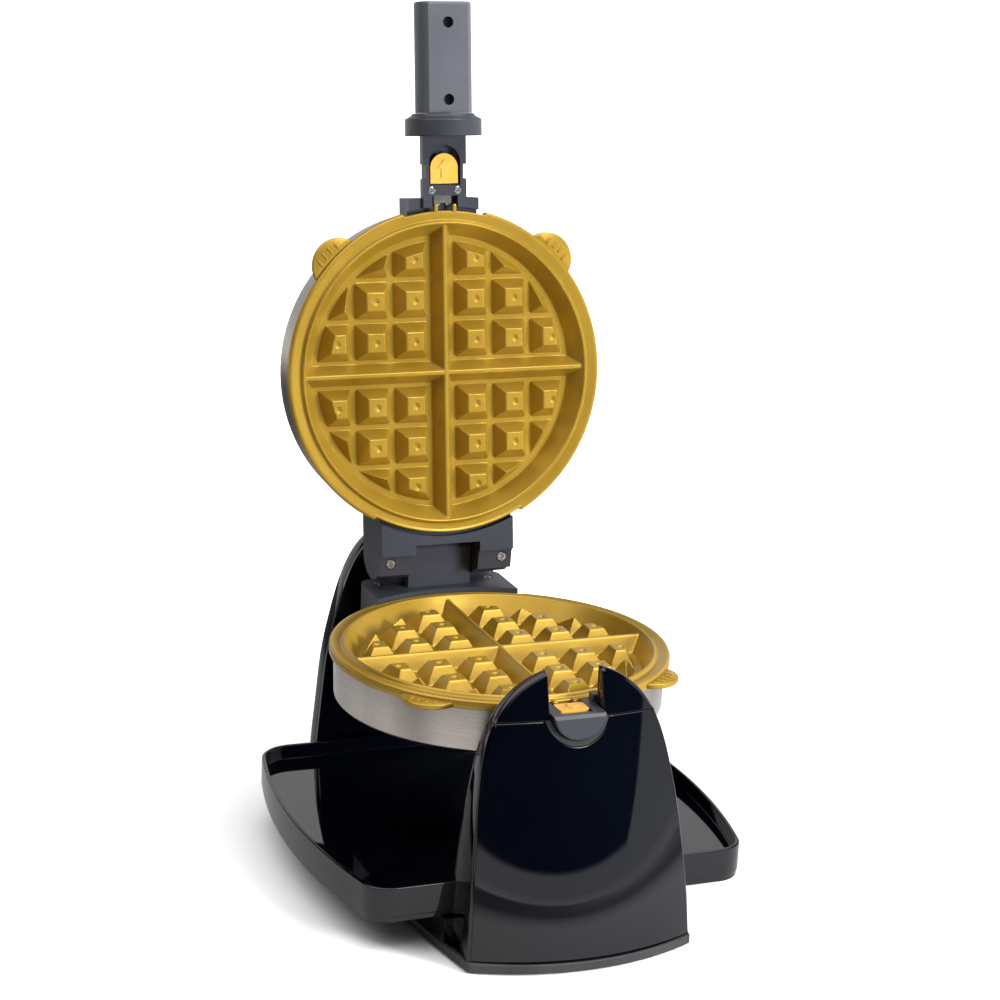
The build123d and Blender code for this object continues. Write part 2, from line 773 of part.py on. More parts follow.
def drip_tray():
    """Wide shallow tray with bowed ends, on a deep skirt."""
    def plan(inset):
        x = tray_corner_x - inset
        y = tray_half_depth - inset
        bow = tray_half_width - inset
        right = ThreePointArc((x, -y), (bow, 0), (x, y))
        left = ThreePointArc((-x, y), (-bow, 0), (-x, -y))
        face = make_face([right, Line(right @ 1, left @ 0), left, Line(left @ 1, right @ 0)])
        face = fillet(face.vertices().group_by(Axis.Y)[-1], tray_back_radius - inset)
        return fillet(face.vertices().group_by(Axis.Y)[0], tray_front_radius - inset)
    body = Pos(0, 0, tray_bottom) * extrude(plan(0), amount=tray_rim - tray_bottom)
    body = chamfer(body.edges().group_by(Axis.Z)[0], 1.2)
    body -= Pos(0, 0, tray_rim - tray_depth) * extrude(plan(tray_wall), amount=tray_depth)
    hollow = tray_rim - tray_depth - tray_floor - tray_bottom
    body -= Pos(0, 0, tray_bottom) * extrude(plan(tray_wall), amount=hollow)
    return body


# ---- Write every node ----

os.makedirs("parts", exist_ok=True)

save("base_bottom_plate", on_base(bottom_plate()))
save("base_deck", on_base(base_deck()))
save("base_screws", *[on_base(s) for s in base_screws()])
save("rubber_feet", *[on_base(s) for s in rubber_feet()])
save("front_tower_shell", on_base(front_tower_shell()))
save("front_tower_cap_left", on_base(front_tower_cap(-1)))
save("front_tower_cap_right", on_base(front_tower_cap(1)))
save("front_inner_cover", on_base(front_inner_cover()))
save("cradle_liner", on_base(cradle_liner()))
save("rear_tower_shell", on_base(rear_tower_shell()))
save("rear_inner_cover", on_base(rear_inner_cover()))
save("rear_hub_cap", on_base(rear_hub_cap()))
save("spindle_bush", on_base(spindle_bush()))
save("cord_gland", on_base(cord_gland()))
save("terminal_block", on_base(terminal_block()))
save("drip_tray", on_base(drip_tray()))

save("lower_shell", on_head(head_shell(0)))
save("lower_heater_plate", on_head(heater_plate()))
save("lower_heating_element", on_head(heating_element()))
save("lower_heat_pan", on_head(heat_pan()))
save("lower_thermostat", on_head(thermostat()))
save("thermal_fuse", on_head(thermal_fuse()))
save("lower_latch_block", on_head(lower_latch_block()))
save("lower_latch_screws", *[on_head(s) for s in latch_screws()])
save("lower_button_spring", on_head(coil_spring(-122.6, -5.9)))
save("lower_hinge_block", on_head(lower_hinge_block()))
save("lower_hinge_screws", *[on_head(s) for s in block_screws()])
save("hinge_knuckle", on_head(hinge_knuckle()))
save("roll_spindle", on_head(roll_spindle()))
save("spindle_clip", on_head(spindle_clip()))
save("spindle_screws", *[on_head(s) for s in spindle_screws()])
save("lower_release_button", on_head(lower_release_button()))
save("lower_catch", on_head(lower_catch()))

plate = grid_plate()
save("lower_grid", on_head(plate))
save("upper_grid", on_lid(flipped(plate)))

save("lid_shell", on_lid(flipped(head_shell(dome_height))))
save("lid_heater_plate", on_lid(flipped(heater_plate())))
save("lid_heating_element", on_lid(flipped(heating_element())))
save("lid_heat_pan", on_lid(flipped(heat_pan())))
save("lid_thermostat", on_lid(flipped(thermostat())))
save("lid_hinge_block", on_lid(lid_hinge_block()))
save("lid_hinge_cover", on_lid(lid_hinge_cover()))
save("lid_hinge_screws", *[on_lid(s) for s in lid_hinge_screws()])
save("hinge_pin", on_lid(hinge_pin()))
save("indicator_lamps", *[on_lid(s) for s in indicator_lamps()])
save("browning_dial", on_lid(browning_dial()))
save("upper_latch_block", on_lid(upper_latch_block()))
save("upper_latch_screws", *[on_lid(s) for s in upper_latch_screws()])
save("upper_button_spring", on_lid(coil_spring(-140.6, 6.45)))
save("upper_release_button", on_lid(upper_release_button()))
save("upper_catch", on_lid(upper_catch()))
save("handle_collar", on_lid(handle_collar()))
save("handle_grip", on_lid(handle_grip()))
save("handle_cover", on_lid(handle_cover()))
save("handle_core", on_lid(handle_core()))
save("handle_screws", *[on_lid(s) for s in handle_screws()])

print(len(made), "nodes:", made)
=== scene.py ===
import math
import bpy
import numpy as np
from mathutils import Matrix, Vector
from mathutils.geometry import delaunay_2d_cdt
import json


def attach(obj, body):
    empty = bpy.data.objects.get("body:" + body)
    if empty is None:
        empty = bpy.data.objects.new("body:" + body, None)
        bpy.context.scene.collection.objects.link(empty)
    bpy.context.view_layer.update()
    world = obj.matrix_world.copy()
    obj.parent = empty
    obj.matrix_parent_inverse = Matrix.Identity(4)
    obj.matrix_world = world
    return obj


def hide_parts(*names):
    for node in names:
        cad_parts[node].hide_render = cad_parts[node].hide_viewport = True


# Looks for a flip-over waffle maker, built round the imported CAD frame.
# Local shapes are drawn in millimetres and placed with BASE, HEAD or LID. Heights in the
# base run up from the table, and in the head and the lid from the plane where the plates meet.

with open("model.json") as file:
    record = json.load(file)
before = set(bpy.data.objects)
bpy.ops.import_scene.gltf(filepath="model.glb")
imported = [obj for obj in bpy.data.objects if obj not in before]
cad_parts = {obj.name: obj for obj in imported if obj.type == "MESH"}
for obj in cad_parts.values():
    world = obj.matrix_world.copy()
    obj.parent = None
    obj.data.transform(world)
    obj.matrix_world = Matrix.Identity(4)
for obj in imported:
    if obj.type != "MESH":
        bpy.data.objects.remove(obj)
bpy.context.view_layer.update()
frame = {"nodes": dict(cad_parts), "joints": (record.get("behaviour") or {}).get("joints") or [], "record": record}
nodes = frame["nodes"]
joints = {j["name"]: j for j in frame["joints"]}

HINGE_BACK = 117.0
HINGE_UP = 25.0
MM = Matrix.Scale(0.001, 4)
ROLL = Vector(joints["head_roll"]["pos_m"]) * 1000
HINGE = Vector(joints["lid_hinge"]["pos_m"]) * 1000
OPEN = math.radians(joints["lid_hinge"]["range_deg"][1])
HEAD_SHIFT = HINGE.y - HINGE_BACK
BASE = MM @ Matrix.Translation((0, HEAD_SHIFT, 0))
HEAD = MM @ Matrix.Translation((0, HEAD_SHIFT, ROLL.z))
LID = (MM @ Matrix.Translation(HINGE) @ Matrix.Rotation(-OPEN, 4, "X")
       @ Matrix.Translation((0, -HINGE_BACK, -HINGE_UP)))
FLIP = Matrix.Diagonal((1, 1, -1, 1))


# ---- Mesh helpers ----

def new_piece(name, verts, faces, place, body, material, sharp=35.0, normals=None):
    """Make a mesh piece from local millimetres, smooth apart from its sharp edges."""
    mesh = bpy.data.meshes.new(name)
    if place.determinant() < 0:
        faces = [tuple(reversed(f)) for f in faces]
    mesh.from_pydata([place @ Vector(v) for v in verts], [], faces)
    mesh.validate()
    mesh.polygons.foreach_set("use_smooth", [True] * len(mesh.polygons))
    mesh.set_sharp_from_angle(angle=math.radians(sharp))
    mesh.materials.append(material)
    if normals:
        turn = place.to_3x3().inverted().transposed()
        given = {i: (turn @ Vector(n)).normalized() for i, n in normals.items()}
        zero = Vector((0, 0, 0))
        mesh.normals_split_custom_set([given.get(l.vertex_index, zero) for l in mesh.loops])
    mesh.update()
    obj = bpy.data.objects.new(name, mesh)
    bpy.context.scene.collection.objects.link(obj)
    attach(obj, body)
    return obj


def stand_for(obj, slot, *names):
    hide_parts(*names)


def lathe(profile, segments):
    """Revolve (radius, height) points about Z. A point on the axis is a pole."""
    verts, faces, rings = [], [], []
    for r, z in profile:
        if r < 1e-6:
            rings.append([len(verts)])
            verts.append((0, 0, z))
            continue
        rings.append(list(range(len(verts), len(verts) + segments)))
        for k in range(segments):
            a = 2 * math.pi * k / segments
            verts.append((r * math.cos(a), r * math.sin(a), z))
    for low, high in zip(rings, rings[1:]):
        for k in range(segments):
            m = (k + 1) % segments
            if len(low) == 1:
                faces.append((low[0], high[k], high[m]))
            elif len(high) == 1:
                faces.append((low[k], high[0], low[m]))
            else:
                faces.append((low[k], high[k], high[m], low[m]))
    return verts, faces


def rounded(points, radius, steps=5, closed=False):
    """Round the corners of a 2-D line."""
    radii = radius if isinstance(radius, (list, tuple)) else [radius] * len(points)
    out = []
    count = len(points)
    for i, p in enumerate(points):
        r = radii[i]
        if r <= 0 or (not closed and i in (0, count - 1)):
            out.append(tuple(p))
            continue
        p = Vector(p)
        a = (Vector(points[i - 1]) - p)
        b = (Vector(points[(i + 1) % count]) - p)
        angle = a.angle(b)
        if angle > math.radians(178):
            out.append(tuple(p))
            continue
        cut = min(r / math.tan(angle / 2), a.length * 0.48, b.length * 0.48)
        r = cut * math.tan(angle / 2)
        start, end = p + a.normalized() * cut, p + b.normalized() * cut
        centre = p + (a.normalized() + b.normalized()).normalized() * (r / math.sin(angle / 2))
        u, w = start - centre, end - centre
        sweep = u.angle(w)
        for k in range(steps + 1):
            t = k / steps
            q = (u * math.sin((1 - t) * sweep) + w * math.sin(t * sweep)) / math.sin(sweep)
            out.append(tuple(centre + q))
    return out


def spline(points, spacing=2.0):
    """Natural cubic spline through 2-D points, resampled evenly."""
    p = np.array(points, float)
    t = np.concatenate([[0], np.cumsum(np.linalg.norm(np.diff(p, axis=0), axis=1))])
    n = len(p)
    h = np.diff(t)
    a = np.zeros((n, n))
    b = np.zeros((n, 2))
    a[0, 0] = a[-1, -1] = 1
    for i in range(1, n - 1):
        a[i, i - 1:i + 2] = h[i - 1], 2 * (h[i - 1] + h[i]), h[i]
        b[i] = 6 * ((p[i + 1] - p[i]) / h[i] - (p[i] - p[i - 1]) / h[i - 1])
    m = np.linalg.solve(a, b)
    out = []
    for s in np.linspace(0, t[-1], max(2, int(t[-1] / spacing) + 1)):
        i = min(max(int(np.searchsorted(t, s)) - 1, 0), n - 2)
        u, v = t[i + 1] - s, s - t[i]
        out.append(tuple((m[i] * u ** 3 + m[i + 1] * v ** 3) / (6 * h[i])
                         + (p[i] / h[i] - m[i] * h[i] / 6) * u
                         + (p[i + 1] / h[i] - m[i + 1] * h[i] / 6) * v))
    return out


def arc(centre, radius, start, end, steps):
    """Points on an arc, angles in degrees."""
    out = []
    for k in range(steps + 1):
        a = math.radians(start + (end - start) * k / steps)
        out.append((centre[0] + radius * math.cos(a), centre[1] + radius * math.sin(a)))
    return out


def clean_loop(points, least=0.05):
    """Drop repeated points and make the loop run counter-clockwise."""
    kept = []
    for p in points:
        if not kept or math.dist(p, kept[-1]) > least:
            kept.append(p)
    if math.dist(kept[0], kept[-1]) <= least:
        kept.pop()
    area = sum(a[0] * b[1] - b[0] * a[1] for a, b in zip(kept, kept[1:] + kept[:1]))
    return kept if area > 0 else kept[::-1]


def inset_loop(loop, distances):
    """Move a counter-clockwise loop inwards, by its own distance on each edge."""
    p = np.array(loop, float)
    d = np.broadcast_to(np.array(distances, float), (len(p),))
    edge = np.roll(p, -1, axis=0) - p
    length = np.maximum(np.linalg.norm(edge, axis=1), 1e-9)
    normal = np.stack([-edge[:, 1], edge[:, 0]], 1) / length[:, None]
    before, after = np.roll(normal, 1, axis=0), normal
    db, da = np.roll(d, 1), d
    dot = (before * after).sum(1)
    cross = before[:, 0] * after[:, 1] - before[:, 1] * after[:, 0]
    out = p + (before + after) / np.maximum(1 + dot, 0.3)[:, None] * ((db + da) / 2)[:, None]
    corner = np.abs(cross) > 0.2
    x = (db * after[:, 1] - da * before[:, 1]) / np.where(corner, cross, 1)
    y = (da * before[:, 0] - db * after[:, 0]) / np.where(corner, cross, 1)
    out[corner] = (p + np.stack([x, y], 1))[corner]
    return [tuple(q) for q in out]


def fill(loop, spacing):
    """Triangulate a loop with evenly spread inner points; returns points and faces."""
    p = np.array(loop, float)
    inner = []
    if spacing:
        low, high = p.min(0), p.max(0)
        a, b = p, np.roll(p, -1, axis=0)
        for row, y in enumerate(np.arange(low[1] + spacing, high[1], spacing * 0.87)):
            for x in np.arange(low[0] + (row % 2) * spacing / 2, high[0], spacing):
                q = np.array((x, y))
                t = np.clip(((q - a) * (b - a)).sum(1) / np.maximum(((b - a) ** 2).sum(1), 1e-9), 0, 1)
                if np.linalg.norm(a + (b - a) * t[:, None] - q, axis=1).min() < spacing * 0.55:
                    continue
                hit = (a[:, 1] > y) != (b[:, 1] > y)
                cut = a[hit, 0] + (y - a[hit, 1]) / (b[hit, 1] - a[hit, 1]) * (b[hit, 0] - a[hit, 0])
                if (cut > x).sum() % 2:
                    inner.append((x, y))
    points = [Vector(q) for q in loop] + [Vector(q) for q in inner]
    made = delaunay_2d_cdt(points, [], [list(range(len(loop)))], 1, 1e-6)
    where = [source[0] if source else None for source in made[3]]
    if None in where:
        print("LOOP CROSSES ITSELF NEAR", [tuple(made[0][i]) for i, w in enumerate(where) if w is None][:6])
        where = [0 if w is None else w for w in where]
    return [tuple(q) for q in points], [tuple(where[i] for i in f) for f in made[2]]


def densify(loop, values, longest):
    """Split the long edges of a loop; each part keeps its edge's value."""
    points, kept = [], []
    for a, b, value in zip(loop, loop[1:] + loop[:1], values):
        parts = max(1, math.ceil(math.dist(a, b) / longest))
        for k in range(parts):
            t = k / parts
            points.append((a[0] + (b[0] - a[0]) * t, a[1] + (b[1] - a[1]) * t))
            kept.append(value)
    return points, kept


def slab(loop, near, far, radius, back_radius=0.4, spacing=4.0, steps=6):
    """A plate in the XZ plane between two surfaces y = near(x, z) and y = far(x, z).

    Its near edge is rounded, by its own radius on each edge of the loop. Near faces -Y."""
    loop, radii = densify(loop, np.broadcast_to(np.array(radius, float), (len(loop),)), spacing * 0.75)
    radii = np.array(radii)
    count = len(loop)
    verts, faces = [], []

    def ring(inset, surface, depth):
        start = len(verts)
        points = inset_loop(loop, inset)
        for i, (x, z) in enumerate(points):
            verts.append((x, surface(x, z) + depth[i], z))
        return start, points

    corner = np.minimum(radii, np.roll(radii, 1))
    rings = []
    back = np.full(count, -back_radius)
    rings.append(ring(np.full(count, back_radius), far, np.zeros(count)))
    rings.append(ring(np.full(count, back_radius * 0.3), far, back * 0.3))
    rings.append(ring(np.zeros(count), far, back))
    for k in range(steps + 1):
        a = math.pi / 2 * k / steps
        rings.append(ring(radii * (1 - math.cos(a)), near, corner * (1 - math.sin(a))))
    for (low, _), (high, _) in zip(rings, rings[1:]):
        for i in range(count):
            m = (i + 1) % count
            faces.append((low + i, high + i, high + m, low + m))
    start, points = rings[-1]
    inner, tris = fill(points, spacing)
    extra = len(verts) - count
    for x, z in inner[count:]:
        verts.append((x, near(x, z), z))
    index = [start + i if i < count else extra + i for i in range(len(inner))]
    faces += [tuple(index[i] for i in f) for f in tris]
    start, points = rings[0]
    _, tris = fill(points, 0)
    faces += [tuple(start + i for i in reversed(f)) for f in tris]
    normals = {}
    for i in index:
        x, _, z = verts[i]
        dx = near(x + 0.5, z) - near(x - 0.5, z)
        dz = near(x, z + 0.5) - near(x, z - 0.5)
        normals[i] = (dx, -1.0, dz)
    return verts, faces, normals


def stack(loop, levels):
    """Rings of one plan loop at (inset, height) levels, closed across the first and the last."""
    verts, faces, starts = [], [], []
    for inset, z in levels:
        starts.append(len(verts))
        verts += [(x, y, z) for x, y in inset_loop(loop, inset)]
    count = len(loop)
    for low, high in zip(starts, starts[1:]):
        for i in range(count):
            m = (i + 1) % count
            faces.append((low + i, low + m, high + m, high + i))
    faces.append(tuple(reversed(range(starts[0], starts[0] + count))))
    faces.append(tuple(range(starts[-1], starts[-1] + count)))
    return verts, faces


# ---- Materials ----

NOISE_RANGE = (0.3, 0.7)
GRAIN_DEPTH = 0.00007


def material(name, colour, roughness, metallic=0.0):
    mat = bpy.data.materials.new(name)
    mat.use_nodes = True
    shader = mat.node_tree.nodes["Principled BSDF"]
    shader.inputs["Base Color"].default_value = (*colour, 1)
    shader.inputs["Roughness"].default_value = roughness
    shader.inputs["Metallic"].default_value = metallic
    return mat


def texture(mat, scale, detail=3.0, stretch=(1, 1, 1)):
    """A noise pattern fixed to the piece, as its Fac output."""
    tree = mat.node_tree
    coords = tree.nodes.new("ShaderNodeTexCoord")
    mapping = tree.nodes.new("ShaderNodeMapping")
    noise = tree.nodes.new("ShaderNodeTexNoise")
    mapping.inputs["Scale"].default_value = stretch
    noise.inputs["Scale"].default_value = scale
    noise.inputs["Detail"].default_value = detail
    tree.links.new(coords.outputs["Object"], mapping.inputs["Vector"])
    tree.links.new(mapping.outputs["Vector"], noise.inputs["Vector"])
    return noise.outputs["Fac"]


def remap(tree, source, from_low, from_high, to_low, to_high):
    """Stretch a value from one range to another, held at both ends."""
    node = tree.nodes.new("ShaderNodeMapRange")
    node.inputs["From Min"].default_value = from_low
    node.inputs["From Max"].default_value = from_high
    node.inputs["To Min"].default_value = to_low
    node.inputs["To Max"].default_value = to_high
    tree.links.new(source, node.inputs["Value"])
    return node.outputs["Result"]


def colour_ramp(tree, source, places, colours):
    node = tree.nodes.new("ShaderNodeValToRGB")
    stops = node.color_ramp.elements
    while len(stops) < len(places):
        stops.new(0.5)
    for stop, place, colour in zip(stops, places, colours):
        stop.position = place
        stop.color = (*colour, 1)
    tree.links.new(source, node.inputs["Fac"])
    return node.outputs["Color"]


def arithmetic(tree, operation, first, second):
    node = tree.nodes.new("ShaderNodeMath")
    node.operation = operation
    tree.links.new(first, node.inputs[0])
    tree.links.new(second, node.inputs[1])
    return node.outputs[0]


def camera_sees(tree, seen, otherwise, output):
    """Show one shader to camera rays and another to reflections and bounced light."""
    path = tree.nodes.new("ShaderNodeLightPath")
    mix = tree.nodes.new("ShaderNodeMixShader")
    tree.links.new(path.outputs["Is Camera Ray"], mix.inputs[0])
    tree.links.new(otherwise.outputs[0], mix.inputs[1])
    tree.links.new(seen.outputs[0], mix.inputs[2])
    tree.links.new(mix.outputs[0], tree.nodes[output].inputs["Surface"])


def vary_roughness(mat, source, low, high):
    tree = mat.node_tree
    rough = remap(tree, source, *NOISE_RANGE, low, high)
    tree.links.new(rough, tree.nodes["Principled BSDF"].inputs["Roughness"])


def vary_colour(mat, source, first, second, places=NOISE_RANGE):
    tree = mat.node_tree
    colour = colour_ramp(tree, source, places, (first, second))
    tree.links.new(colour, tree.nodes["Principled BSDF"].inputs["Base Color"])


def add_bump(mat, source, strength, distance):
    tree = mat.node_tree
    shader = tree.nodes["Principled BSDF"]
    bump = tree.nodes.new("ShaderNodeBump")
    bump.inputs["Strength"].default_value = strength
    bump.inputs["Distance"].default_value = distance
    tree.links.new(source, bump.inputs["Height"])
    if shader.inputs["Normal"].is_linked:
        before = shader.inputs["Normal"].links[0].from_socket
        tree.links.new(before, bump.inputs["Normal"])
    tree.links.new(bump.outputs["Normal"], shader.inputs["Normal"])


def surface(name, dark, light, rough, metallic=0.0, blotch=50, grain=1500, bump=0.1):
    """A material whose colour and roughness drift a little, with a fine grain."""
    mat = material(name, light, rough[1], metallic)
    vary_colour(mat, texture(mat, blotch), dark, light)
    vary_roughness(mat, texture(mat, blotch * 3, 4), *rough)
    add_bump(mat, texture(mat, grain, 2), bump, GRAIN_DEPTH)
    return mat


def brushed(name, across, dark, light):
    """Steel with fine lines round it, and broad light and dark streaks up it that are painted reflection; across
    is the axis the lines are stacked on.
    """
    mat = material(name, (0.5, 0.47, 0.43), 0.3, 1.0)
    fine = texture(mat, 1.0, 4, [2600 if axis == across else 14 for axis in "XYZ"])
    # painted reflection: broad streaks along the axis that stand in for the surroundings mirrored in the steel
    painted_reflection_bands = texture(mat, 1.0, 1, [0.5 if axis == across else 22 for axis in "XYZ"])
    vary_roughness(mat, fine, 0.24, 0.36)
    # colour the steel with the painted reflection streaks
    vary_colour(mat, painted_reflection_bands, dark, light, (0.38, 0.60))
    add_bump(mat, fine, 0.10, 0.00005)
    return mat


def make_materials():
    """One material for each slot of the record, a darker copy of the steel for the lid that is painted shade, and
    a lighter copy of the satin for the handle that is painted light.
    """
    made = {}
    gloss = material("gloss_black", (0.0006, 0.0009, 0.002), 0.04)
    vary_roughness(gloss, texture(gloss, 35, 4), 0.025, 0.06)
    vary_colour(gloss, texture(gloss, 6, 2), (0.0004, 0.0006, 0.0014), (0.0008, 0.0012, 0.0027))
    add_bump(gloss, texture(gloss, 22, 2), 0.03, 0.0004)
    made["gloss_black"] = gloss
    made["brushed_shell"] = brushed("brushed_shell", "Z", (0.26, 0.235, 0.215), (0.46, 0.42, 0.385))
    # painted shade: the lid's steel is a darker, warmer copy of the shell's steel
    made["brushed_lid_painted_shade"] = brushed("brushed_lid_painted_shade", "Y", (0.22, 0.195, 0.17), (0.32, 0.285, 0.245))
    made["gold_plate"] = surface("gold_plate", (0.29, 0.178, 0.017), (0.35, 0.215, 0.026), (0.29, 0.36), 0.58,
                                 blotch=25, grain=2200, bump=0.06)
    made["dark_satin"] = surface("dark_satin", (0.016, 0.0175, 0.023), (0.022, 0.024, 0.031), (0.36, 0.46),
                                 blotch=18, grain=2200, bump=0.12)
    # painted light: a lighter copy of the dark satin for the handle, standing in for the sheen its faces catch
    made["handle_satin_painted_light"] = surface("handle_satin_painted_light", (0.045, 0.047, 0.057), (0.058, 0.061, 0.072), (0.34, 0.44),
                                   blotch=18, grain=2200, bump=0.12)
    made["amber_button"] = surface("amber_button", (0.40, 0.20, 0.028), (0.45, 0.24, 0.042), (0.34, 0.44),
                                   blotch=60, grain=1800, bump=0.08)
    made["underside_black"] = surface("underside_black", (0.013, 0.013, 0.014), (0.022, 0.022, 0.023),
                                      (0.42, 0.58), grain=1800, bump=0.15)
    made["rubber_black"] = surface("rubber_black", (0.014, 0.014, 0.014), (0.025, 0.025, 0.025), (0.65, 0.85),
                                   bump=0.2)
    made["black_screw"] = surface("black_screw", (0.008, 0.008, 0.009), (0.016, 0.016, 0.018),
                                  (0.35, 0.5), 0.6, blotch=200)
    made["plain_steel"] = surface("plain_steel", (0.46, 0.455, 0.44), (0.58, 0.57, 0.55), (0.22, 0.36), 1.0)
    made["bright_screw"] = surface("bright_screw", (0.50, 0.50, 0.51), (0.64, 0.64, 0.65), (0.22, 0.36), 1.0,
                                   blotch=200)
    made["cast_aluminium"] = surface("cast_aluminium", (0.50, 0.50, 0.51), (0.64, 0.64, 0.65),
                                     (0.38, 0.55), 1.0, grain=500, bump=0.2)
    made["element_sheath"] = surface("element_sheath", (0.11, 0.09, 0.09), (0.30, 0.25, 0.21),
                                     (0.4, 0.6), 1.0, grain=700, bump=0.15)
    made["switch_metal"] = surface("switch_metal", (0.54, 0.52, 0.48), (0.68, 0.66, 0.62), (0.28, 0.42), 1.0,
                                   blotch=90)
    made["nylon_white"] = surface("nylon_white", (0.66, 0.65, 0.60), (0.75, 0.74, 0.69), (0.42, 0.58))
    made["lamp_red"] = surface("lamp_red", (0.48, 0.015, 0.01), (0.62, 0.03, 0.016), (0.08, 0.18), blotch=120,
                               grain=600, bump=0.05)
    return made


MATS = make_materials()
SLOT_OF = {s["node"]: s["material_slot"] for s in frame["record"]["subparts"]}


# ---- Carried-over CAD nodes: softened edges and a material ----

HANDLE_NODES = ("handle_grip", "handle_cover", "handle_core")
SMALL_EDGE_MM = 0.2
EDGE_MM = {
    "handle_grip": 0.8, "handle_cover": 0.8, "handle_collar": 0.9, "upper_latch_block": 0.6,
    "lower_latch_block": 0.6, "lid_hinge_block": 1.2, "lid_hinge_cover": 1.5, "lower_hinge_block": 1.2,
    "front_inner_cover": 0.6, "rear_inner_cover": 0.6, "base_deck": 0.8, "base_bottom_plate": 1.0,
    "cradle_liner": 0.4, "rear_hub_cap": 0.8, "browning_dial": 0.3, "upper_release_button": 0.45,
    "lower_release_button": 0.45, "hinge_knuckle": 0.4, "rubber_feet": 0.3,
}


def soften(name):
    """Weld the imported mesh and round its edges, with modifiers only."""
    obj = nodes[name]
    obj.data.materials.clear()
    # the handle's pieces take the lighter satin copy, which is painted light
    obj.data.materials.append(MATS["handle_satin_painted_light" if name in HANDLE_NODES else SLOT_OF[name]])
    obj.data.polygons.foreach_set("use_smooth", [True] * len(obj.data.polygons))
    weld = obj.modifiers.new("weld", "WELD")
    weld.merge_threshold = 0.00001
    bevel = obj.modifiers.new("edges", "BEVEL")
    bevel.width = EDGE_MM.get(name, SMALL_EDGE_MM) / 1000
    bevel.segments = 3 if name in EDGE_MM else 1
    bevel.limit_method = "ANGLE"
    bevel.angle_limit = math.radians(35)
    obj.modifiers.new("shading", "WEIGHTED_NORMAL").keep_sharp = True


for name in nodes:
    soften(name)


# ---- Grid plates ----

PEG_FIRST = 20.6
PEG_PITCH = 26.0
PEG_HALF = 11.6
PEG_TOP = 10.3
PEG_SLOPE = 1.75
PEG_REACH = 83.6
DENT_RADIUS = 2.4
DENT_DEPTH = 1.2
DIVIDER_HALF = 6.7
DIVIDER_SLOPE = 1.84
CAVITY_FLOOR = -12.8
FLANGE_RADIUS = 105.0
FRONT_FLAT_HALF = 27.5
REAR_FLAT_HALF = 50.0
TAB_CENTRE = 99.0
TAB_RADIUS = 17.5
TAB_ROOT = 104.2
TAB_ANGLES = (-135, -45)
LUG_X = 6.2
PLATE_GAP = 0.2


def smooth_min(a, b, k):
    h = np.clip(0.5 + 0.5 * (b - a) / k, 0, 1)
    return b * (1 - h) + a * h - k * h * (1 - h)


def smooth_max(a, b, k):
    return -smooth_min(-a, -b, k)


def rounded_square(x, y, half, corner):
    """Signed distance outside a square with rounded corners."""
    qx, qy = np.abs(x) - half + corner, np.abs(y) - half + corner
    return np.hypot(np.maximum(qx, 0), np.maximum(qy, 0)) + np.minimum(np.maximum(qx, qy), 0) - corner


def cavity_height(x, y):
    """Height of the baking surface above the cavity floor, inside the lip."""
    r = np.hypot(x, y)
    height = np.zeros_like(x)
    dents = np.zeros_like(x)
    for i in range(3):
        for j in range(3):
            if i + j > 3:
                continue
            px = np.abs(x) - (PEG_FIRST + PEG_PITCH * i)
            py = np.abs(y) - (PEG_FIRST + PEG_PITCH * j)
            side = smooth_min(-rounded_square(px, py, PEG_HALF, 2.0) * PEG_SLOPE, (PEG_REACH - r) * 1.9, 0.8)
            height = smooth_max(height, smooth_min(side, PEG_TOP, 0.6), 0.6)
            if i + j < 3:
                bowl = np.clip(1 - (np.hypot(px, py) / DENT_RADIUS) ** 2, 0, 1)
                dents = np.maximum(dents, DENT_DEPTH * bowl)
    for across in (np.abs(x), np.abs(y)):
        ridge = smooth_min((DIVIDER_HALF - across) * DIVIDER_SLOPE, PEG_TOP, 0.7)
        height = smooth_max(height, ridge, 0.6)
    return np.maximum(height, 0) - dents


RIM = rounded([(86.0, CAVITY_FLOOR), (87.2, CAVITY_FLOOR), (94.5, -0.9), (95.0, 0), (95.8, 0),
               (97.4, -2.6), (103.2, -1.1), (104.6, -1.5), (FLANGE_RADIUS, -2.6)],
              [0, 1.6, 0.4, 0.3, 0.4, 0.5, 0.6, 0.5, 0], 5)


def plate_surface(x, y):
    """Height of the whole upper face: cavity, lip, gutter and flange."""
    r = np.hypot(x, y)
    rim = np.interp(r, [p[0] for p in RIM], [p[1] for p in RIM])
    inside = CAVITY_FLOOR + cavity_height(x, y)
    return np.where(r < 95.2, smooth_max(rim, inside, 0.5), rim)


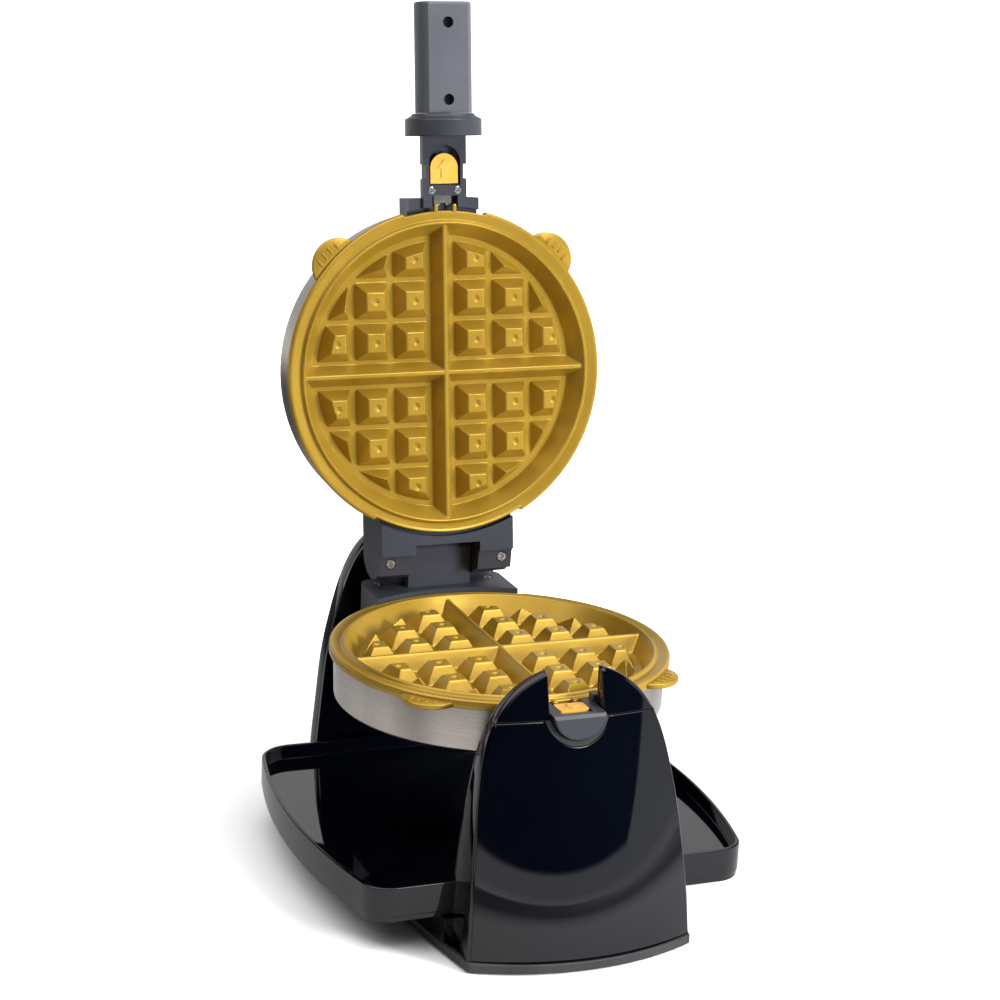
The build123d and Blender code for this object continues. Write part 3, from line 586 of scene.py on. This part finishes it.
def plate_mesh(cells):
    """One cast plate: a fine even mesh on top, a turned skirt and underside."""
    line = np.linspace(-1, 1, cells + 1)
    u, v = np.meshgrid(line, line)
    far = np.maximum(np.abs(u), np.abs(v))
    safe = np.maximum(far, 1e-9)
    wide = np.abs(u) >= np.abs(v)
    angle = np.where(wide, v / safe * math.pi / 4, math.pi / 2 - u / safe * math.pi / 4)
    angle = np.where(np.where(wide, u, v) < 0, np.where(wide, math.pi - angle, -angle), angle)
    r = far * FLANGE_RADIUS
    x, y = r * np.cos(angle), r * np.sin(angle)
    z = plate_surface(x, y)
    half = np.where(y < 0, FRONT_FLAT_HALF, REAR_FLAT_HALF)
    cut = np.clip((half - np.abs(x)) / 1.2 + 0.5, 0, 1) * (np.abs(y) > 60)
    outer = FLANGE_RADIUS - 2.0 * cut
    fixed = FLANGE_RADIUS - 4.0
    pushed = np.where(r > fixed, fixed + (r - fixed) * (outer - fixed) / 4.0, r)
    x, y = pushed * np.cos(angle), pushed * np.sin(angle)
    side = cells + 1
    verts = [tuple(p) for p in np.stack([x.ravel(), y.ravel(), z.ravel()], 1)]
    step = 0.2
    slope_x = (plate_surface(x + step, y) - plate_surface(x - step, y)) / (2 * step)
    slope_y = (plate_surface(x, y + step) - plate_surface(x, y - step)) / (2 * step)
    smooth = np.flatnonzero(r.ravel() < 100.5)
    across, along = slope_x.ravel(), slope_y.ravel()
    normals = {int(i): (-across[i], -along[i], 1.0) for i in smooth}
    faces = []
    for j in range(cells):
        for i in range(cells):
            a = j * side + i
            faces.append((a, a + 1, a + side + 1, a + side))
    edge = list(range(side)) + [j * side + cells for j in range(1, side)]
    edge += [cells * side + i for i in range(cells - 1, -1, -1)] + [j * side for j in range(cells - 1, 0, -1)]
    last = edge
    for shrink, z in ((0, -6.3), (0.15, -6.7), (0.5, -6.8), (1.8, -6.8), (1.8, -3.2), (6.7, -3.2),
                      (14.8, -15.4), (15.6, -15.8)):
        start = len(verts)
        for k in edge:
            px, py, _ = verts[k]
            size = math.hypot(px, py)
            verts.append((px * (size - shrink) / size, py * (size - shrink) / size, z))
        ring = list(range(start, start + len(edge)))
        for k in range(len(edge)):
            m = (k + 1) % len(edge)
            faces.append((last[k], ring[k], ring[m], last[m]))
        last = ring
    faces.append(tuple(reversed(last)))
    return verts, faces, normals


def tab_mesh(angle):
    """Finger tab with a rounded edge and four grip ribs."""
    outline = [p for p in arc((TAB_CENTRE, 0), TAB_RADIUS, -90, 90, 48) if math.hypot(*p) > TAB_ROOT]
    outline += arc((0, 0), TAB_ROOT, math.degrees(math.atan2(outline[-1][1], outline[-1][0])) - 0.5,
                   math.degrees(math.atan2(outline[0][1], outline[0][0])) + 0.5, 12)
    loop = clean_loop(outline)
    verts, faces = stack(loop, [(0.4, -6.4), (0.0, -6.0), (0.0, -4.1), (0.2, -3.7), (0.7, -3.4)])
    for offset in (-7.5, -2.5, 2.5, 7.5):
        middle = 110.5 - abs(offset) * 0.25
        bar = [(middle - 2.6, offset - 0.8), (middle + 2.6, offset - 0.8), (middle + 2.6, offset + 0.8),
               (middle - 2.6, offset + 0.8)]
        more, more_faces = stack(clean_loop(rounded(bar, 0.75, 4, True)),
                                 [(0, -3.8), (0, -3.1), (0.15, -2.85), (0.5, -2.7)])
        faces += [tuple(i + len(verts) for i in f) for f in more_faces]
        verts += more
    turn = Matrix.Rotation(math.radians(angle), 4, "Z")
    return [tuple(turn @ Vector(v)) for v in verts], faces


def build_grid(name, body, place):
    """A plate with its two finger tabs and the two lugs that the catch holds."""
    cells = 340
    verts, faces, normals = plate_mesh(cells)
    for angle in TAB_ANGLES:
        more, more_faces = tab_mesh(angle)
        faces += [tuple(i + len(verts) for i in f) for f in more_faces]
        verts += more
    for x in (-LUG_X, LUG_X):
        lug = rounded([(x - 1.2, -107), (x + 1.2, -107), (x + 1.2, -102), (x - 1.2, -102)], 0.4, 3, True)
        more, more_faces = stack(clean_loop(lug), [(0.2, -3.3), (0, -3.1), (0, -0.9), (0.3, -0.6)])
        faces += [tuple(i + len(verts) for i in f) for f in more_faces]
        verts += more
    lowered = place @ Matrix.Translation((0, 0, -PLATE_GAP))
    obj = new_piece(name + "_cast", verts, faces, lowered, body, MATS["gold_plate"], 60, normals)
    stand_for(obj, "gold_plate", name)


build_grid("lower_grid", "lower_plate", HEAD)
build_grid("upper_grid", "upper_plate", LID @ FLIP)


# ---- Head shells ----

def shell_profile(dome):
    """Half section of a steel cup, outside then inside, with its floor domed by a given height."""
    low = -35.0
    outside = rounded([(0, low - dome), (60, low - dome * 0.62), (99.8, low), (101.5, low + 1.7),
                       (102.4, -3.8), (99.2, -3.8)], [0, 60, 1.5, 1.5, 0.6, 0], 6)
    inside = rounded([(99.2, -4.7), (101.4, -4.7), (100.3, low + 4.2), (96.6, low + 0.9),
                      (60, low + 0.9 - dome * 0.62), (0, low + 0.9 - dome)], [0, 0.3, 3, 3, 60, 0], 4)
    return outside + inside


def build_shell(name, body, place, dome, steel):
    verts, faces = lathe([(max(r, 0), z) for r, z in shell_profile(dome)], 288)
    faces = [tuple(reversed(f)) for f in faces]
    cup = new_piece(name + "_turned", verts, faces, place, body, MATS[steel], 40)
    stand_for(cup, "brushed_shell", name)


build_shell("lower_shell", "lower_head", HEAD, 0.0, "brushed_shell")
# the lid takes the darker copy of the steel, painted shade
build_shell("lid_shell", "lid", LID @ FLIP, 3.0, "brushed_lid_painted_shade")


# ---- Towers ----

FRONT_HALF = [(0, 25), (20, 21.3), (39.5, 9.5), (53.5, -13), (60.5, -42), (65.5, -80), (68.6, -120),
              (70, -146.3)]
REAR_HALF = [(0, 38), (22, 33), (40, 20), (50.5, 1), (58.5, -27), (64, -54), (67, -84), (70, -120),
             (71, -146.3)]
AXIS_Z = ROLL.z
FOOT_Z = 7.5
NOTCH = 20.4
HORN_NOTCH = 16.9
SEAM_DROP = 5.0
SEAM_Z = AXIS_Z - SEAM_DROP
SEAM_WIDTH = 0.35
FRONT_BACK_Y = -115.1
REAR_FRONT_Y = 149.6


def whole_arch(half):
    """Arch outline from the right foot over the crown to the left foot, in base heights."""
    knots = [(x, z + AXIS_Z) for x, z in reversed(half)]
    knots += [(-x, z + AXIS_Z) for x, z in half[1:]]
    return spline(knots, 1.6)


def crown_arc(x, half, edge, crown):
    """Plan curve through (-half, edge), (0, crown), (half, edge), bulging to the rear."""
    rise = crown - edge
    radius = (half * half + rise * rise) / (2 * rise)
    return crown - radius + math.sqrt(max(radius * radius - x * x, 1.0))


FACE_TOP = 190
FACE_HEIGHTS = [0, FOOT_Z, 25, 45, 65, 85, 113, 141, 165, FACE_TOP]
FACE_CROWN = np.polyfit(FACE_HEIGHTS, [-163.0, -161.8, -158.8, -155.0, -149.8, -143.6, -134.6, -125.9,
                                       -119.0, -112.8], 5)
FACE_BEND = np.polyfit(FACE_HEIGHTS, [0.0033, 0.00327, 0.00315, 0.00298, 0.0028, 0.0026, 0.00218, 0.00172,
                                      0.0014, 0.0012], 4)


def front_face(x, z):
    """The front is steep at the foot, leans back more higher up, and flattens in plan as it rises."""
    return float(np.polyval(FACE_CROWN, z) + np.polyval(FACE_BEND, z) * x * x)


def rear_face(x, z):
    """The rear face is bowed in plan at the foot and almost flat at the top."""
    t = z / FACE_TOP
    return (1 - t) * crown_arc(x, 71, 162.0, 178.5) + t * crown_arc(x, 71, 159.5, 161.5)


def crossing(points, z):
    """Where the right side of an arch outline reaches a height."""
    for (x0, z0), (x1, z1) in zip(points, points[1:]):
        if x0 > 0 and z0 <= z < z1:
            return x0 + (x1 - x0) * (z - z0) / (z1 - z0)
    return points[0][0]


def tower_shell_loop():
    """Outline of the front tower below its seam, round under the cradle's notch."""
    arch = whole_arch(FRONT_HALF)
    right = [p for p in arch if p[0] > 0 and FOOT_Z + 2 < p[1] < SEAM_Z - 0.8]
    x_low, x_seam = crossing(arch, FOOT_Z), crossing(arch, SEAM_Z)
    notch_x = math.sqrt(NOTCH ** 2 - SEAM_DROP ** 2)
    angle = math.degrees(math.atan2(-SEAM_DROP, notch_x))
    notch = arc((0, AXIS_Z), NOTCH, angle, -180 - angle, 36)
    loop = [(x_low, FOOT_Z)] + right + [(x_seam, SEAM_Z), (notch_x, SEAM_Z)] + notch[1:-1]
    loop += [(-notch_x, SEAM_Z), (-x_seam, SEAM_Z)] + [(-x, z) for x, z in reversed(right)]
    loop += [(-x_low, FOOT_Z)]
    return clean_loop(loop)


def edge_radii(loop, outer, fine):
    """Large radius on the outline, a fine one along seams, the notch and the foot."""
    out = []
    for a, b in zip(loop, loop[1:] + loop[:1]):
        flat = abs(a[1] - b[1]) < 0.01
        notch = math.hypot((a[0] + b[0]) / 2, (a[1] + b[1]) / 2 - AXIS_Z) < NOTCH + 1 and a[1] < AXIS_Z + 0.5
        out.append(fine if flat or notch else outer)
    return out


def front_back(x, z):
    """The flat back of the front tower and its horns."""
    return FRONT_BACK_Y


def build_front_tower():
    loop = tower_shell_loop()
    radii = edge_radii(loop, 1.6, 0.7)
    verts, faces, normals = slab(loop, front_face, front_back, radii)
    obj = new_piece("front_tower_body", verts, faces, BASE, "root", MATS["gloss_black"], 40, normals)
    stand_for(obj, "gloss_black", "front_tower_shell")


def horn_loop(seam):
    """Outline of the right-hand horn, above the seam."""
    arch = whole_arch(FRONT_HALF)
    x_seam = crossing(arch, seam)
    outside = [p for p in arch if p[0] > HORN_NOTCH + 0.7 and p[1] > seam + 0.8]
    low_angle = math.degrees(math.atan2(seam - AXIS_Z, math.sqrt(HORN_NOTCH ** 2 - (seam - AXIS_Z) ** 2)))
    notch = [(HORN_NOTCH, z) for z in np.linspace(outside[-1][1] - 1.5, AXIS_Z + 1, 8)]
    notch += arc((0, AXIS_Z), HORN_NOTCH, 0, low_angle, 4)
    loop = [(x_seam, seam)] + outside + notch
    tip = [0] * len(outside) + [2.9, 2.9]
    return clean_loop(rounded(loop, tip + [0] * (len(loop) - len(tip)), 4, True))


def build_horns():
    seam = SEAM_Z + SEAM_WIDTH
    loop = horn_loop(seam)
    for side, name in ((1, "right"), (-1, "left")):
        half = clean_loop([(side * x, z) for x, z in loop])
        radii = []
        for a, b in zip(half, half[1:] + half[:1]):
            on_seam = abs(a[1] - b[1]) < 0.01 and a[1] < seam + 0.1
            on_notch = abs(a[0] + b[0]) / 2 < HORN_NOTCH + 0.4
            radii.append(0.45 if on_seam else 0.7 if on_notch else 2.4)
        verts, faces, normals = slab(half, front_face, front_back, radii, spacing=3.0)
        obj = new_piece("front_horn_" + name, verts, faces, BASE, "root", MATS["gloss_black"], 40, normals)
        stand_for(obj, "gloss_black", "front_tower_cap_" + name)


def build_rear_tower():
    arch = whole_arch(REAR_HALF)
    side = [p for p in arch if p[1] > FOOT_Z + 2]
    x_low = crossing(arch, FOOT_Z)
    loop = clean_loop([(x_low, FOOT_Z)] + side + [(-x_low, FOOT_Z)])
    loop = clean_loop([(-x, z) for x, z in loop])
    radii = edge_radii(loop, 2.6, 0.45)
    verts, faces, normals = slab(loop, lambda x, z: -rear_face(x, z), lambda x, z: -REAR_FRONT_Y, radii)
    obj = new_piece("rear_tower_back", verts, faces, BASE @ Matrix.Diagonal((1, -1, 1, 1)), "root",
                    MATS["gloss_black"], 40, normals)
    stand_for(obj, "gloss_black", "rear_tower_shell")


build_front_tower()
build_horns()
build_rear_tower()


# ---- Drip tray ----

TRAY_HALF = 117.0
TRAY_BOW = 133.0
TRAY_FRONT_ARC = ((103.1, -99.0), 18.0, -90, -13.7)
TRAY_BACK_ARC = ((98.36, 93.0), 24.0, 13.05, 90)
TRAY_FOOT = 23.3
TRAY_RIM = 44.6
TRAY_WALL = 2.6
TRAY_FLOOR = 35.3


def bow(x, y, out):
    """Arc through (x, -y), (out, 0), (x, y)."""
    rise = out - x
    radius = (y * y + rise * rise) / (2 * rise)
    centre = out - radius
    angle = math.degrees(math.asin(y / radius))
    return arc((centre, 0), radius, -angle, angle, 60)


def tray_loop():
    """Plan of the tray: bowed ends and rounded corners, with a larger radius at the back."""
    outline = arc(*TRAY_FRONT_ARC, 14)
    outline += [p for p in bow(TRAY_HALF, TRAY_HALF, TRAY_BOW) if -102 < p[1] < 97]
    outline += arc(*TRAY_BACK_ARC, 14)
    outline += [(-x, y) for x, y in reversed(outline)]
    return clean_loop(outline)


def build_tray():
    """A shallow dish on a deep skirt, with a fine step near the foot of the skirt."""
    section = rounded([(14, 32.9), (2.7, 32.9), (2.7, TRAY_FOOT), (1.1, TRAY_FOOT), (0.7, TRAY_FOOT + 0.5),
                       (0.7, 26.6), (0, 27.2), (0, TRAY_RIM), (TRAY_WALL, TRAY_RIM),
                       (TRAY_WALL, TRAY_FLOOR), (14, TRAY_FLOOR)],
                      [0, 0.4, 0.3, 0.3, 0.3, 0.3, 0.4, 0.8, 0.8, 0.9, 0], 5)
    verts, faces = stack(tray_loop(), section)
    obj = new_piece("drip_tray_moulded", verts, faces, BASE, "tray", MATS["gloss_black"], 40)
    stand_for(obj, "gloss_black", "drip_tray")


build_tray()


# ---- Camera, floor and light ----

CAMERA_ANGLES = (-21.74, 15.86, 2.49)
CAMERA_TARGET = Vector((-0.00397, -0.0075, 0.23713))
CAMERA_DISTANCE = 1.60174
FOCAL_WIDTHS = 2.64316
SENSOR = 36.0


def build_camera():
    """Camera by azimuth, elevation and roll about a point on the machine."""
    data = bpy.data.cameras.new("camera")
    data.sensor_width = SENSOR
    data.lens = FOCAL_WIDTHS * SENSOR
    data.clip_end = 20.0
    camera = bpy.data.objects.new("camera", data)
    bpy.context.scene.collection.objects.link(camera)
    azimuth, elevation, roll = (math.radians(a) for a in CAMERA_ANGLES)
    back = Vector((math.sin(azimuth) * math.cos(elevation), -math.cos(azimuth) * math.cos(elevation),
                   math.sin(elevation)))
    right = (-back).cross(Vector((0, 0, 1))).normalized()
    up = back.cross(right)
    right, up = right * math.cos(roll) + up * math.sin(roll), up * math.cos(roll) - right * math.sin(roll)
    turn = Matrix((right, up, back)).transposed().to_4x4()
    camera.matrix_world = Matrix.Translation(CAMERA_TARGET + back * CAMERA_DISTANCE) @ turn
    bpy.context.scene.camera = camera


def area_light(name, place, target, size, power, colour=(1, 1, 1), mirrored=True):
    data = bpy.data.lights.new(name, "AREA")
    data.shape = "RECTANGLE"
    data.size, data.size_y = size
    data.energy = power
    data.color = colour
    light = bpy.data.objects.new(name, data)
    light.location = place
    light.rotation_euler = (Vector(target) - Vector(place)).to_track_quat("-Z", "Y").to_euler()
    light.visible_glossy = mirrored
    bpy.context.scene.collection.objects.link(light)


def build_floor():
    """Pale floor, lifted to white away from the machine, and darker in reflections near it."""
    mesh = bpy.data.meshes.new("floor")
    reach = 7.0
    corners = [(-reach, -reach, 0), (reach, -reach, 0), (reach, reach, 0), (-reach, reach, 0)]
    mesh.from_pydata(corners, [], [(0, 1, 2, 3)])
    floor = bpy.data.objects.new("floor", mesh)
    bpy.context.scene.collection.objects.link(floor)
    mat = material("floor_white", (0.86, 0.86, 0.86), 0.9)
    tree = mat.node_tree
    coords = tree.nodes.new("ShaderNodeTexCoord")
    away = tree.nodes.new("ShaderNodeVectorMath")
    away.operation = "LENGTH"
    tree.links.new(coords.outputs["Object"], away.inputs[0])
    seen = tree.nodes["Principled BSDF"]
    seen.inputs["Emission Color"].default_value = (1, 1, 1, 1)
    glow = remap(tree, away.outputs["Value"], 0.17, 0.55, 0.0, 0.8)
    tree.links.new(glow, seen.inputs["Emission Strength"])
    greys = [(shade, shade, shade) for shade in (0.42, 0.08, 0.08, 0.8)]
    part = remap(tree, away.outputs["Value"], 0, reach, 0, 1)
    bounced = tree.nodes.new("ShaderNodeBsdfDiffuse")
    tree.links.new(colour_ramp(tree, part, (0.06, 0.10, 0.22, 0.28), greys), bounced.inputs["Color"])
    camera_sees(tree, seen, bounced, "Material Output")
    mesh.materials.append(mat)


def build_world():
    """White walls, low in front and high behind and on the right, dark above, and a bright ceiling."""
    world = bpy.data.worlds.new("world")
    bpy.context.scene.world = world
    world.use_nodes = True
    tree = world.node_tree
    coords = tree.nodes.new("ShaderNodeTexCoord")
    split = tree.nodes.new("ShaderNodeSeparateXYZ")
    tree.links.new(coords.outputs["Generated"], split.inputs[0])
    behind = remap(tree, split.outputs["Y"], 0.45, 0.80, 0.060, 0.42)
    right = remap(tree, split.outputs["X"], 0.62, 0.95, 0.060, 0.60)
    wall_top = arithmetic(tree, "MAXIMUM", behind, right)
    above = arithmetic(tree, "SUBTRACT", split.outputs["Z"], wall_top)
    wall, dark, ceiling = (0.36, 0.36, 0.365), (0.0015, 0.003, 0.006), (1.0, 1.0, 1.0)
    shade = colour_ramp(tree, remap(tree, above, -1, 1, 0, 1), (0.500, 0.506, 0.74, 0.86),
                        (wall, dark, dark, ceiling))
    light = tree.nodes["Background"]
    light.inputs["Strength"].default_value = 2.5
    tree.links.new(shade, light.inputs["Color"])
    seen = tree.nodes.new("ShaderNodeBackground")
    seen.inputs["Color"].default_value = (1, 1, 1, 1)
    camera_sees(tree, seen, light, "World Output")


def build_lights():
    """Soft key, weak left fill, and a strong front light that gloss does not mirror."""
    centre = (0, 0, 0.2)
    area_light("key", (0.75, -1.25, 1.8), centre, (0.6, 0.6), 16, (1.0, 0.98, 0.95))
    area_light("left", (-1.6, -0.3, 1.3), centre, (0.5, 0.9), 2.5)
    area_light("front", (1.05, -1.25, 0.55), (0, 0, 0.3), (0.6, 0.5), 92, mirrored=False)
    bpy.context.scene.view_settings.view_transform = "Standard"


build_camera()
build_floor()
build_world()
build_lights()
